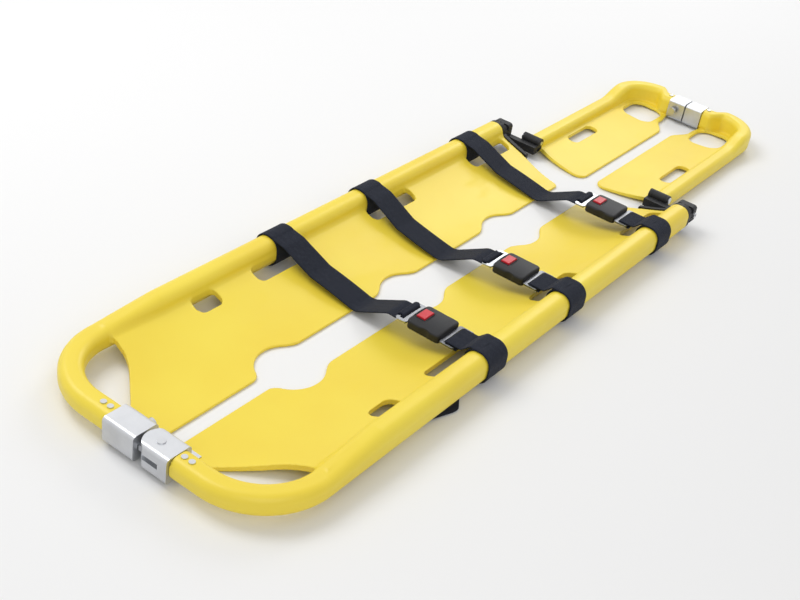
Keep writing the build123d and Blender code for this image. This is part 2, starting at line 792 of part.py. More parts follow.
def buckle_latch(middle):
    """The steel latch plate, its tooth drawn up clear of the tongue"""
    high = plate_high + running_gap
    front = buckle_mouth - latch_front
    plate_z = (high + latch_rise, high + latch_rise + latch_thickness)
    plate = block((middle - latch_half, middle + latch_half), (buckle_rear + latch_rear, front), plate_z)
    return plate + block((middle - 6, middle + 6), (front - 3, front), (high + 0.2, high + 2))


def adjuster(middle):
    """The three-bar slide behind the buckle, with the tang that holds it there"""
    z = (plate_low, plate_high)
    through = (plate_low - 1, plate_high + 1)
    end = buckle_rear - 0.4
    frame = block((middle - buckle_half, middle + buckle_half), (buckle_rear - adjuster_length, end), z)
    frame = fillet(frame.edges().filter_by(Axis.Z), 4)
    for offset in (7, 17):
        slot_y = (buckle_rear - offset - 5, buckle_rear - offset)
        frame -= block((middle - webbing_width / 2, middle + webbing_width / 2), slot_y, through)
    tang_y = (buckle_rear - 2, buckle_rear + tang_length)
    return frame + block((middle - tang_half, middle + tang_half), tang_y, z)


for number, middle in enumerate(belt_stations, start=1):
    far_strap = webbing(rim_loop() + far_run, middle)
    near_strap = webbing(rim_loop() + near_run, middle)
    if number == 1:
        near_strap += loose_tail(middle)
    save(far_strap, f"far_strap_{number}")
    save(mirror(near_strap, about=Plane.XZ), f"near_strap_{number}")
    save(belt_tongue(middle), f"belt_tongue_{number}")
    save(buckle_cover(middle), f"buckle_cover_{number}")
    save(buckle_button_cap(middle), f"buckle_button_{number}")
    save(buckle_spring(middle), f"buckle_spring_{number}")
    save(buckle_latch(middle), f"buckle_latch_{number}")
    save(adjuster(middle), f"strap_adjuster_{number}")
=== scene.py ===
"""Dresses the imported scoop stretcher: moulded shells, webbing belts, buckles and their metalwork."""

import logging
from collections.abc import Callable, Sequence
from dataclasses import dataclass, field
from enum import Enum

import bpy
import numpy as np
from mathutils import Matrix, Vector


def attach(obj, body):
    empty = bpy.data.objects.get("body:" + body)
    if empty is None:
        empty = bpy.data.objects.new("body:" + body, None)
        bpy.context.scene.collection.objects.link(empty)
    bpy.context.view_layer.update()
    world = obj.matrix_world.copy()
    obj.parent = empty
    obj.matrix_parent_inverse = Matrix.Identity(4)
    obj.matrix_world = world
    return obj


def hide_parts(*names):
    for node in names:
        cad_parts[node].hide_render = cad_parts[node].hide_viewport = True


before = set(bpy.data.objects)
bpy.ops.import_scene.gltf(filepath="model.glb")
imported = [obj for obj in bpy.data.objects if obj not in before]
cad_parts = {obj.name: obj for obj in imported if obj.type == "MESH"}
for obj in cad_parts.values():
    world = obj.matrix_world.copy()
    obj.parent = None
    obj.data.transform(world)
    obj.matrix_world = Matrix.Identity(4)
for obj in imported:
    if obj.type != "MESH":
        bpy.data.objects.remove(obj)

Array = np.ndarray
Shape = Callable[[Array, Array, Array], Array]
Span = tuple[float, float]

LOG = logging.getLogger("stretcher")
MM = 0.001
HALF_LENGTH = 820.0

# How a grid's points are moved onto the surface: the number of steps, the longest step as a share
# of a cell, and the least squared slope and length to divide by.
PROJECTION_STEPS = 4
STEP_REACH = 0.6
LEAST_SLOPE = 0.05
TINY = 1e-9


class Side(Enum):
    """The two halves of the stretcher; the value is the sign of their width axis."""

    LEFT = 1
    RIGHT = -1

    @property
    def word(self) -> str:
        """The word that starts the names of this half's pieces."""
        return self.name.lower()


# Shapes as distances


def rounded_box_2d(u: Array, v: Array, a: Array, b: Array, r: Array) -> Array:
    """Distance to a rectangle with rounded corners.

    The outside part is the length of what is left over past the corner's centre, less the radius;
    the inside part is the nearer of the two sides.

    Args:
        u: First coordinate, from the rectangle's middle.
        v: Second coordinate, from the rectangle's middle.
        a: Half width along the first coordinate.
        b: Half width along the second coordinate.
        r: Corner radius.

    Returns:
        The signed distance, negative inside.
    """
    p = np.abs(u) - a + r
    q = np.abs(v) - b + r
    return np.hypot(np.maximum(p, 0), np.maximum(q, 0)) + np.minimum(np.maximum(p, q), 0) - r


def rounded_and(a: Array, b: Array, r: float) -> Array:
    """Both shapes at once, with a round edge of radius r where their faces meet.

    Args:
        a: Distance to the first shape.
        b: Distance to the second shape.
        r: Radius of the edge.

    Returns:
        The smaller of the larger distance and -r, plus the length of both distances past -r.
    """
    over = np.hypot(np.maximum(a + r, 0), np.maximum(b + r, 0))
    return np.minimum(np.maximum(a, b), -r) + over


def rounded_or(a: Array, b: Array, r: float) -> Array:
    """Either shape, with a hollow fillet of radius r: the opposite of both opposites at once."""
    return -rounded_and(-a, -b, r)


def blend_between(t: Array, low: float, high: float) -> Array:
    """0 before low, 1 after high, and 3t squared less 2t cubed between them."""
    part = np.clip((t - low) / (high - low), 0, 1)
    return part * part * (3 - 2 * part)


def line_side(s: Array, y: Array, start: Span, end: Span) -> Array:
    """Distance to the left of the line from start to end, positive on that side.

    Args:
        s: Stations.
        y: Widths.
        start: Station and width of the line's first point.
        end: Station and width of its last point.

    Returns:
        The cross product of the unit direction and the offset from start.
    """
    run, rise = end[0] - start[0], end[1] - start[1]
    length = float(np.hypot(run, rise))
    return (run * (y - start[1]) - rise * (s - start[0])) / length


def rounded_window(s: Array, y: Array, length: Span, width: Span, corner: float) -> Array:
    """Distance to a rectangle with rounded corners, given by its two ends along each axis.

    Args:
        s: Stations.
        y: Widths.
        length: Stations of its ends.
        width: Widths of its sides.
        corner: Corner radius.

    Returns:
        The signed distance, negative inside.
    """
    return rounded_box_2d(
        s - (length[0] + length[1]) / 2,
        y - (width[0] + width[1]) / 2,
        (length[1] - length[0]) / 2,
        (width[1] - width[0]) / 2,
        corner,
    )


def from_head(corners: Sequence[Sequence[float]]) -> list[tuple[float, float, float]]:
    """Corners given with a station from the head end, as places in the shared frame."""
    return [(station - HALF_LENGTH, y, z) for station, y, z in corners]


@dataclass(frozen=True)
class Skin:
    """A closed surface in millimetres: points, four-sided faces and outward normals."""

    points: Array
    quads: Array
    normals: Array

    def mirrored(self) -> "Skin":
        """The same surface on the other half, with its faces turned to point outwards again."""
        flip = np.array([1.0, -1.0, 1.0])
        return Skin(self.points * flip, self.quads[:, ::-1], self.normals * flip)


def cell_points(values: Array) -> tuple[Array, Array]:
    """One point in each grid cell that the surface crosses.

    The point is the mean of the places where the surface cuts the cell's twelve edges; each place
    is a / (a - b) of the way along an edge whose ends have the distances a and b.

    Args:
        values: Distances at the grid's nodes.

    Returns:
        The points in cell units, and a map from each cell to its point's number, or -1.
    """
    cells = np.array(values.shape) - 1
    total = np.zeros((*cells, 3))
    hits = np.zeros(cells)
    for axis in range(3):
        moved = np.moveaxis(values, axis, 0)
        first, last = moved[:-1], moved[1:]
        cross = (first < 0) != (last < 0)
        along = np.where(cross, first / np.where(cross, first - last, 1), 0)
        others = [k for k in range(3) if k != axis]
        for du in (0, 1):
            for dv in (0, 1):
                rows = slice(du, du + cells[others[0]])
                columns = slice(dv, dv + cells[others[1]])
                window = (slice(None), rows, columns)
                hit = np.moveaxis(cross[window], 0, axis)
                total[..., axis] += np.moveaxis(along[window], 0, axis)
                total[..., others[0]] += hit * du
                total[..., others[1]] += hit * dv
                hits += hit
    active = hits > 0
    number = np.full(cells, -1)
    number[active] = np.arange(int(active.sum()))
    return np.argwhere(active) + total[active] / hits[active][:, None], number


def cell_quads(values: Array, number: Array) -> Array:
    """A face across each grid edge that the surface cuts, joining the four cells round it.

    Args:
        values: Distances at the grid's nodes.
        number: Each cell's point number.

    Returns:
        Four point numbers a face, in the order that makes it point outwards.
    """
    faces = []
    for axis in range(3):
        turned = np.moveaxis(values, (axis, (axis + 1) % 3, (axis + 2) % 3), (0, 1, 2))
        ids = np.moveaxis(number, (axis, (axis + 1) % 3, (axis + 2) % 3), (0, 1, 2))
        inside = turned[:, 1:-1, 1:-1] < 0
        outward = inside[:-1] & ~inside[1:]
        inward = ~inside[:-1] & inside[1:]
        ring = (ids[:, :-1, :-1], ids[:, 1:, :-1], ids[:, 1:, 1:], ids[:, :-1, 1:])
        faces.append(np.stack([part[outward] for part in ring], axis=1))
        faces.append(np.stack([part[inward] for part in ring[::-1]], axis=1))
    return np.concatenate(faces)


def slope(shape: Shape, points: Array, step: float = 0.05) -> Array:
    """How fast the distance grows along each axis: half the difference a step either way."""
    ways = []
    for axis in range(3):
        shift = np.zeros(3)
        shift[axis] = step
        ways.append((shape(*(points + shift).T) - shape(*(points - shift).T)) / (2 * step))
    return np.stack(ways, axis=1)


def skin_of(
    shape: Shape, low: Sequence[float], high: Sequence[float], cell: Sequence[float]
) -> Skin:
    """The surface where a distance is zero, from a grid of cells.

    Each cell's point is then moved onto the surface: it steps by the distance along the slope,
    divided by the slope's squared length, a few times over.

    Args:
        shape: The distance as a function of three arrays of coordinates.
        low: Lowest corner of the grid, in millimetres.
        high: Highest corner of the grid.
        cell: Size of a grid cell along each axis.

    Returns:
        The closed surface.
    """
    axes = [np.arange(a, b + c, c) for a, b, c in zip(low, high, cell, strict=True)]
    values = shape(*np.meshgrid(*axes, indexing="ij"))
    points, number = cell_points(values)
    points = np.array(low) + points * np.array(cell)
    reach = min(cell) * STEP_REACH
    for _ in range(PROJECTION_STEPS):
        grade = slope(shape, points)
        size = np.maximum((grade**2).sum(axis=1), LEAST_SLOPE)
        move = (shape(*points.T) / size)[:, None] * grade
        length = np.maximum(np.linalg.norm(move, axis=1, keepdims=True), TINY)
        points = points - move * np.minimum(1, reach / length)
    grade = slope(shape, points)
    normals = grade / np.maximum(np.linalg.norm(grade, axis=1, keepdims=True), TINY)
    return Skin(points, cell_quads(values, number), normals)


def place_skin(
    name: str, skin: Skin, body: str, replaced: Sequence[str], finish: "Finish"
) -> bpy.types.Object:
    """Puts a surface into the scene as a piece of the object.

    Args:
        name: Name of the piece.
        skin: Its surface, in millimetres.
        body: The body that it moves with.
        replaced: The nodes that it stands for.
        finish: Its material.

    Returns:
        The new object, at the origin.
    """
    mesh = bpy.data.meshes.new(name)
    mesh.from_pydata(skin.points * MM, [], skin.quads)
    mesh.polygons.foreach_set("use_smooth", np.ones(len(mesh.polygons), dtype=bool))
    mesh.materials.append(finish.material())
    mesh.normals_split_custom_set_from_vertices(skin.normals)
    mesh.update()
    piece = bpy.data.objects.new(name, mesh)
    bpy.context.scene.collection.objects.link(piece)
    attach(piece, body)
    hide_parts(*replaced)
    LOG.info("%s: %d faces on %s", name, len(mesh.polygons), body)
    return piece


# Finishes


class Nodes:
    """A short way to write a material's nodes."""

    def __init__(self, name: str) -> None:
        """Starts a material with a surface shader joined to its output."""
        self.made = bpy.data.materials.new(name)
        self.made.use_nodes = True
        self.tree = self.made.node_tree
        self.shader = self.tree.nodes["Principled BSDF"]

    def add(self, kind: str, **values: object) -> bpy.types.Node:
        """Adds a node and sets its properties and sockets.

        Args:
            kind: The node's type, without its common start.
            values: Properties of the node, or sockets by name with _ for a space.

        Returns:
            The new node.
        """
        node = self.tree.nodes.new("ShaderNode" + kind)
        for key, value in values.items():
            if hasattr(node, key):
                setattr(node, key, value)
                continue
            self.feed(node.inputs[key.replace("_", " ")], value)
        return node

    def feed(self, socket: bpy.types.NodeSocket, value: object) -> None:
        """Sets a socket to a number or colour, or links it to another socket."""
        if isinstance(value, bpy.types.NodeSocket):
            self.tree.links.new(value, socket)
        else:
            socket.default_value = value

    def math(self, operation: str, *values: object) -> bpy.types.NodeSocket:
        """The result of arithmetic on one to three values."""
        node = self.tree.nodes.new("ShaderNodeMath")
        node.operation = operation
        for socket, value in zip(node.inputs, values, strict=False):
            self.feed(socket, value)
        return node.outputs[0]

    def place(self, stretch: Sequence[float] = (1, 1, 1)) -> bpy.types.NodeSocket:
        """The piece's own coordinates in metres, stretched along each axis."""
        coordinates = self.add("TexCoord")
        return self.add("Mapping", Vector=coordinates.outputs["Object"], Scale=stretch).outputs[0]

    def noise(
        self, scale: float, detail: float, stretch: Sequence[float] = (1, 1, 1)
    ) -> bpy.types.NodeSocket:
        """Soft noise of a size, as a number from 0 to 1."""
        node = self.add("TexNoise", Vector=self.place(stretch), Scale=scale, Detail=detail)
        return node.outputs[0]

    def between(
        self, value: object, low: float, high: float, most: float = 1.0
    ) -> bpy.types.NodeSocket:
        """A value carried from the range of low to high to that of 0 to most, held at its ends."""
        node = self.add("MapRange", Value=value, From_Min=low, From_Max=high, To_Max=most)
        return node.outputs[0]

    def colour_mix(self, part: object, first: object, second: object) -> bpy.types.NodeSocket:
        """A colour part of the way from first to second, each a socket or three numbers.

        The mixing node's sockets for colours are its inputs 6 and 7 and its output 2.
        """
        node = self.tree.nodes.new("ShaderNodeMix")
        node.data_type = "RGBA"
        self.feed(node.inputs[0], part)
        for socket, colour in ((node.inputs[6], first), (node.inputs[7], second)):
            given = isinstance(colour, bpy.types.NodeSocket)
            self.feed(socket, colour if given else (*colour, 1))
        return node.outputs[2]

    def bump(self, height: object, depth: float, strength: float = 1.0) -> None:
        """Roughens the surface by a height of 0 to 1 times a depth in metres."""
        node = self.add("Bump", Height=height, Distance=depth, Strength=strength)
        self.tree.links.new(node.outputs[0], self.shader.inputs["Normal"])

    def surface(self, **values: object) -> bpy.types.Material:
        """Sets the shader's sockets and gives the finished material."""
        for key, value in values.items():
            self.feed(self.shader.inputs[key.replace("_", " ")], value)
        return self.made


@dataclass(frozen=True)
class Finish:
    """A material of the stretcher: its name, a slot name that is not used, and two colours."""

    name: str
    slot: str
    colour: tuple[float, float, float]
    shade: tuple[float, float, float]

    def material(self) -> bpy.types.Material:
        """The material, made once and then shared."""
        return bpy.data.materials.get(self.name) or self.build(Nodes(self.name))

    def build(self, nodes: Nodes) -> bpy.types.Material:
        """Fills a new material's nodes."""
        raise NotImplementedError


@dataclass(frozen=True)
class MouldedPlastic(Finish):
    """Plastic from a mould: slow colour drift, a fine skin and light rubbing."""

    roughness: float = 0.42
    grain: float = 900.0
    grain_depth: float = 0.00012
    gloss: float = 0.5
    rub: float = 0.14
    rub_lay: tuple[float, float, float] = (0.35, 1, 1)

    def build(self, nodes: Nodes) -> bpy.types.Material:
        """Colour drifts on slow noise; rubbed patches and fine grain roughen it."""
        drift = nodes.noise(5.0, 4.0)
        tint = nodes.colour_mix(nodes.between(drift, 0.35, 0.7), self.colour, self.shade)
        rubbed = nodes.between(nodes.noise(24.0, 6.0, self.rub_lay), 0.55, 0.75)
        rough = nodes.math("MULTIPLY_ADD", rubbed, self.rub, self.roughness)
        skin = nodes.noise(self.grain, 2.0)
        flow = nodes.noise(60.0, 2.0)
        nodes.bump(nodes.math("MULTIPLY_ADD", flow, 2.0, skin), self.grain_depth, 0.6)
        return nodes.surface(Base_Color=tint, Roughness=rough, Specular_IOR_Level=self.gloss)


@dataclass(frozen=True)
class Metal(Finish):
    """Bare, plated or cast metal."""

    roughness: float = 0.3
    grain: float = 500.0
    grain_depth: float = 0.00005
    lay: tuple[float, float, float] = (1, 1, 1)
    stained: float = 0.18

    def build(self, nodes: Nodes) -> bpy.types.Material:
        """Fine grain in the direction of working, with slow stains in colour and roughness.

        The stains' noise lies about a half, so a third of their strength is taken off again.
        """
        grain = nodes.noise(self.grain, 4.0, self.lay)
        stain = nodes.noise(30.0, 5.0)
        tint = nodes.colour_mix(nodes.between(stain, 0.3, 0.7), self.colour, self.shade)
        rough = nodes.math("MULTIPLY_ADD", stain, self.stained, self.roughness - self.stained / 3)
        nodes.bump(grain, self.grain_depth)
        return nodes.surface(Base_Color=tint, Metallic=1.0, Roughness=rough)


@dataclass(frozen=True)
class Webbing(Finish):
    """Woven belt webbing, read from the piece's own map in metres across and along."""

    pitch: float = 0.0021
    thread: float = 0.00168
    zigzag: float = 0.006
    relief: float = 0.0005
    fuzz: tuple[float, float, float] = (0.035, 0.042, 0.06)

    def build(self, nodes: Nodes) -> bpy.types.Material:
        """Ribs along the belt and threads that cross them, slanted one way and then the other.

        The height is the product of two sine waves, one across and one along with a zigzag shift,
        and the hollows between the threads are darkened with painted shade.
        """
        parts = nodes.add("SeparateXYZ", Vector=nodes.add("UVMap").outputs[0]).outputs
        half_turns = nodes.math("MULTIPLY", parts[0], np.pi / self.pitch)
        shifted = nodes.math("ADD", parts[1], nodes.math("PINGPONG", parts[0], self.zigzag))
        along = nodes.math("MULTIPLY", shifted, 2 * np.pi / self.thread)
        ribs = nodes.math("ABSOLUTE", nodes.math("SINE", half_turns))
        threads = nodes.math("MULTIPLY_ADD", nodes.math("SINE", along), 0.5, 0.5)
        height = nodes.math("MULTIPLY", ribs, nodes.math("MULTIPLY_ADD", threads, 0.6, 0.4))
        # Painted shade: darker colour in the hollows, the base colour on the threads.
        weave = nodes.colour_mix(nodes.between(height, 0.1, 0.8), self.shade, self.colour)
        fuzzy = nodes.between(nodes.noise(220.0, 4.0), 0.5, 0.8, 0.35)
        nodes.bump(height, self.relief, 0.9)
        return nodes.surface(
            Base_Color=nodes.colour_mix(fuzzy, weave, self.fuzz),
            Roughness=0.88,
            Specular_IOR_Level=0.25,
            Sheen_Weight=0.05,
        )


YELLOW = MouldedPlastic(
    "yellow polyethylene",
    "yellow_shell",
    colour=(0.88, 0.7, 0.06),
    shade=(0.85, 0.64, 0.045),
    roughness=0.4,
)
BLACK = MouldedPlastic(
    "black moulding",
    "black_plastic",
    colour=(0.008, 0.0085, 0.01),
    shade=(0.014, 0.0145, 0.017),
    roughness=0.5,
    grain=1400.0,
    gloss=0.3,
)
RED = MouldedPlastic(
    "red button plastic",
    "red_plastic",
    colour=(0.62, 0.015, 0.03),
    shade=(0.5, 0.01, 0.02),
    roughness=0.35,
    grain=1600.0,
)
COATED = MouldedPlastic(
    "black powder coat",
    "black_casting",
    colour=(0.014, 0.0145, 0.016),
    shade=(0.022, 0.0225, 0.025),
    roughness=0.55,
    grain=2200.0,
    gloss=0.3,
)
ALUMINIUM = Metal(
    "satin aluminium",
    "bare_aluminium",
    colour=(0.62, 0.63, 0.65),
    shade=(0.52, 0.53, 0.55),
    roughness=0.34,
    grain=420.0,
)
DRAWN = Metal(
    "drawn aluminium",
    "bare_aluminium",
    colour=(0.79, 0.8, 0.82),
    shade=(0.7, 0.71, 0.73),
    roughness=0.26,
    grain=700.0,
    grain_depth=0.00003,
    lay=(0.02, 1, 1),
)
STEEL = Metal(
    "zinc plated steel",
    "steel",
    colour=(0.62, 0.63, 0.65),
    shade=(0.5, 0.51, 0.53),
    grain=600.0,
)
CHROME = Metal(
    "bright chrome",
    "chrome_plate",
    colour=(0.44, 0.45, 0.47),
    shade=(0.34, 0.35, 0.37),
    roughness=0.18,
    grain=900.0,
    grain_depth=0.00001,
)
# Chrome with a darker colour all over, for the strap adjusters.
DARK_CHROME = Metal(
    "dark chrome",
    "chrome_plate",
    colour=(0.2, 0.205, 0.22),
    shade=(0.12, 0.125, 0.135),
    grain=900.0,
    grain_depth=0.00002,
)
# The webbing's shade colour is painted shade in the weave's hollows.
WEBBING = Webbing(
    "navy webbing",
    "webbing",
    colour=(0.009, 0.014, 0.031),
    shade=(0.003, 0.004, 0.009),
)


# Moulded shells


@dataclass
class MainShell:
    """One half of the main section, as one smooth moulding."""

    rim_end: float = 1139.0
    taper: Span = (124.0, 233.0)
    side_y: float = 205.0
    side_z: float = 33.5
    head_y: float = 207.0
    head_z: float = 29.5
    corner_y: float = 105.0
    corner_mid: float = 102.0
    head_station: float = 22.0
    head_end: float = 58.0
    side_half: Span = (20.0, 24.0)
    head_half: Span = (18.0, 17.0)
    corners: Span = (18.0, 13.0)
    bulges: tuple[float, ...] = (302.0, 598.5, 895.0)
    bulge_radius: float = 52.0
    slots: tuple[Span, ...] = ((278.0, 328.0), (408.0, 532.0), (696.0, 818.0), (1002.0, 1128.0))
    slot_y: Span = (155.0, 185.0)
    slot_corner: float = 12.0
    gap_half: Span = (13.0, 31.0)
    gap_change: Span = (292.0, 312.0)
    head_edge: tuple[Span, Span, Span] = ((50.0, 52.0), (76.0, 78.0), (134.0, 153.0))
    foot_edge: tuple[Span, Span, Span] = ((1109.0, 31.0), (1113.0, 66.0), (1139.0, 128.0))
    top: tuple[float, float, float] = (4.4, 30.0, 388.9)
    low: tuple[float, float, float] = (0.0, 60.0, 310.0)
    end_edge: float = 0.8
    blade_edge: float = 1.5
    fillet: float = 6.0
    grid: tuple[tuple[float, float, float], ...] = ((2.0, 8.0, -3.0), (1143.0, 229.0, 61.0))
    cell: tuple[float, float, float] = (3.0, 2.6, 1.5)

    def tube(self, s: Array, y: Array, z: Array) -> Array:
        """The rim: a rounded section carried along a straight side, a round corner and the head.

        Past the taper the section grows evenly from the head's size to the side's. The offset
        across the rim is the width less the side's, the distance from the corner's centre less
        its radius, or the head's station less the station.
        """
        grow = np.clip((s - self.taper[0]) / (self.taper[1] - self.taper[0]), 0, 1)
        a = self.head_half[0] + grow * (self.side_half[0] - self.head_half[0])
        b = self.head_half[1] + grow * (self.side_half[1] - self.head_half[1])
        r = self.corners[1] + grow * (self.corners[0] - self.corners[1])
        middle = self.head_z + grow * (self.side_z - self.head_z)
        side = y - (self.head_y + grow * (self.side_y - self.head_y))
        turn = np.hypot(s - self.taper[0], y - self.corner_y) - self.corner_mid
        head = self.head_station - s
        across = np.where(s > self.taper[0], side, np.where(y > self.corner_y, turn, head))
        ring = rounded_box_2d(across, z - middle, a, b, r)
        return np.maximum(rounded_and(ring, s - self.rim_end, self.end_edge), self.head_end - y)

    def dish(self, y: Array, curve: tuple[float, float, float]) -> Array:
        """Height of a face of the blade: level up to a width, then an arc of a circle.

        Args:
            y: Widths.
            curve: The level height, the width at which the arc starts, and its radius.

        Returns:
            The heights: the radius less the root of its square less that of the width past
            the start.
        """
        level, start, radius = curve
        past = np.clip(y - start, 0, 0.7 * radius)
        return level + radius - np.sqrt(radius**2 - past**2)

    def plan(self, s: Array, y: Array) -> Array:
        """The blade's outline seen from above.

        It keeps what lies outside the gap, the round widenings, the slanted head edge and the
        notched foot edge, and loses the hand slots.
        """
        narrow, wide = self.gap_half
        edge = narrow + (wide - narrow) * blend_between(s, *self.gap_change) - y
        for station in self.bulges:
            edge = rounded_and(edge, self.bulge_radius - np.hypot(s - station, y), 12.0)
        first, corner, last = self.head_edge
        slant = rounded_or(line_side(s, y, first, corner), line_side(s, y, corner, last), 20.0)
        head = rounded_and(rounded_or(slant, last[0] - s, 16.0), first[0] - s, 8.0)
        first, corner, last = self.foot_edge
        notch = rounded_or(-line_side(s, y, first, corner), -line_side(s, y, corner, last), 18.0)
        foot = rounded_and(notch, s - self.rim_end, 10.0)
        outline = rounded_and(rounded_and(edge, head, 6.0), foot, 10.0)
        for slot in self.slots:
            hole = rounded_window(s, y, slot, self.slot_y, self.slot_corner)
            outline = np.maximum(outline, -hole)
        return np.maximum(outline, y - self.side_y)

    def blade(self, s: Array, y: Array, z: Array) -> Array:
        """The dished blade, with rolled edges."""
        slab = np.maximum(z - self.dish(y, self.top), self.dish(y, self.low) - z)
        return rounded_and(self.plan(s, y), slab, self.blade_edge)

    def shape(self, x: Array, y: Array, z: Array) -> Array:
        """The whole moulding: rim and blade joined by a soft fillet."""
        s = x + HALF_LENGTH
        return rounded_or(self.tube(s, y, z), self.blade(s, y, z), self.fillet)

    def build(self) -> None:
        """Makes the left half and its mirror image."""
        skin = skin_of(self.shape, *from_head(self.grid), self.cell)
        for side, half in ((Side.LEFT, skin), (Side.RIGHT, skin.mirrored())):
            replaced = [f"{side.word}_main_shell"]
            place_skin(f"{side.word}_main_moulding", half, f"{side.word}_half", replaced, YELLOW)


@dataclass
class FootShell:
    """One half of the foot section, with its raised ear."""

    start: float = 1200.0
    rise: Span = (1490.0, 1560.0)
    rim_y: float = 143.0
    ear_y: float = 79.0
    ear_mid: float = 64.0
    tip: float = 1624.0
    neck: float = 1601.0
    neck_y: float = 55.0
    inner_y: float = 38.0
    slot: tuple[Span, Span, float] = ((1286.0, 1380.0), (94.0, 120.0), 12.0)
    hole: tuple[Span, Span, float] = ((1508.0, 1592.0), (46.0, 116.0), 26.0)
    gap_half: float = 13.0
    ear_gap: tuple[float, Span] = (22.0, (1502.0, 1548.0))
    neck_gap: tuple[float, Span] = (4.0, (1560.0, 1590.0))
    front_edge: tuple[Span, Span] = ((1173.0, 70.0), (1202.0, 130.0))
    top: Span = (4.5, 10.5)
    low: float = 6.0
    end_edge: float = 0.8
    blade_edge: float = 1.5
    fillet: float = 4.0
    grid: tuple[tuple[float, float, float], ...] = ((1168.0, 8.0, -3.0), (1644.0, 163.0, 51.0))
    cell: tuple[float, float, float] = (2.8, 2.6, 1.5)

    def across(self, s: Array, y: Array) -> Array:
        """Offset across the rim, outwards: along the side, round the ear, then along the neck."""
        side = y - self.rim_y
        turn = np.hypot(s - self.rise[1], y - self.ear_y) - self.ear_mid
        middle = self.neck + (self.tip - self.neck) * blend_between(y, self.neck_y, self.ear_y)
        return np.where(s < self.rise[1], side, np.where(y > self.ear_y, turn, s - middle))

    def tube(self, s: Array, y: Array, z: Array) -> Array:
        """The rim: its section deepens along the rise and changes again along the neck.

        Half width, half height and middle each start from the level side's value, and take a
        share for the rise and one for the neck. Inside the ring of the ear lies no rim.
        """
        lift = blend_between(s, *self.rise)
        near = 1 - blend_between(y, self.neck_y, self.ear_y)
        near = np.where(s < self.rise[1], 0, near)
        a = 16 + 2 * near
        b = 15 + 7 * lift - 1.5 * near
        middle = 17 + 8 * lift + 1.5 * near
        ring = rounded_box_2d(self.across(s, y), z - middle, a, b, 12.0)
        ring = np.where((s < self.rise[1]) & (y < self.ear_y), 20.0, ring)
        return np.maximum(rounded_and(ring, self.start - s, self.end_edge), self.inner_y - y)

    def plan(self, s: Array, y: Array) -> Array:
        """The blade's outline from above: its gap, start edge, slot and ear hole."""
        gap = self.gap_half
        for more, change in (self.ear_gap, self.neck_gap):
            gap = gap + more * blend_between(s, *change)
        slant = line_side(s, y, *self.front_edge)
        front = rounded_and(self.front_edge[0][0] - s, slant, 20.0)
        outline = rounded_and(gap - y, front, 22.0)
        for window in (self.slot, self.hole):
            outline = np.maximum(outline, -rounded_window(s, y, *window))
        return np.maximum(outline, self.across(s, y))

    def blade(self, s: Array, y: Array, z: Array) -> Array:
        """The flat blade: its faces climb evenly from the inner edge to the rim."""
        part = (y - self.gap_half) / (self.rim_y - self.gap_half)
        top = self.top[0] + self.top[1] * part
        slab = np.maximum(z - top, self.low * part - z)
        return rounded_and(self.plan(s, y), slab, self.blade_edge)

    def shape(self, x: Array, y: Array, z: Array) -> Array:
        """Rim and blade joined by a soft fillet."""
        s = x + HALF_LENGTH
        return rounded_or(self.tube(s, y, z), self.blade(s, y, z), self.fillet)

    def build(self) -> None:
        """Makes the left foot half and its mirror image."""
        skin = skin_of(self.shape, *from_head(self.grid), self.cell)
        for side, half in ((Side.LEFT, skin), (Side.RIGHT, skin.mirrored())):
            replaced = [f"{side.word}_foot_shell"]
            place_skin(f"{side.word}_foot_moulding", half, f"{side.word}_foot", replaced, YELLOW)


# Webbing


def bent_path(points: Sequence[Span], radii: Sequence[float], step: float = 2.0) -> Array:
    """A path through corners, each rounded by an arc, in points about a step apart.

    An arc of radius r leaves each leg r times the tangent of half the turn before the corner.

    Args:
        points: Width and height of each corner.
        radii: Radius at each inner corner.
        step: Distance between points, in millimetres.

    Returns:
        The points, as widths and heights.
    """
    corners = np.array(points, dtype=float)
    pieces = [corners[:1]]
    turns = zip(corners, corners[1:], corners[2:], radii, strict=False)
    for before, corner, after, radius in turns:
        first = (corner - before) / np.linalg.norm(corner - before)
        last = (after - corner) / np.linalg.norm(after - corner)
        turn = np.arctan2(first[0] * last[1] - first[1] * last[0], first @ last)
        start = corner - first * radius * np.tan(abs(turn) / 2)
        inward = np.array([-first[1], first[0]]) * np.sign(turn)
        angles = np.linspace(0, abs(turn), 9)[:, None]
        pieces.append(start + radius * (np.sin(angles) * first + (1 - np.cos(angles)) * inward))
    pieces.append(corners[-1:])
    rough = np.concatenate(pieces)
    along = np.concatenate([[0], np.cumsum(np.linalg.norm(np.diff(rough, axis=0), axis=1))])
    even = np.linspace(0, along[-1], int(along[-1] / step) + 1)
    return np.stack([np.interp(even, along, rough[:, k]) for k in (0, 1)], axis=1)


def ring_path(middle: Span, half: Span, radius: float, count: int = 180) -> Array:
    """A closed path round a rounded rectangle.

    Each point lies where a ray from the middle meets the rectangle: the ray is cut to the
    straight sides first and then drawn in to the corner's arc by its distance.

    Args:
        middle: Width and height of its middle.
        half: Half its width and half its height.
        radius: Its corner radius.
        count: Number of points.

    Returns:
        The points in order, without a repeat of the first.
    """
    angle = np.linspace(0, 2 * np.pi, count, endpoint=False)
    ray = np.stack([np.cos(angle) * half[0], np.sin(angle) * half[1]], axis=1)
    ray *= (1 / np.max(np.abs(ray) / np.array(half), axis=1))[:, None]
    inner = np.clip(ray, -(np.array(half) - radius), np.array(half) - radius)
    out = ray - inner
    length = np.maximum(np.linalg.norm(out, axis=1, keepdims=True), 1e-9)
    corner = np.where(length > radius, out / length * radius, out)
    return inner + corner + np.array(middle)


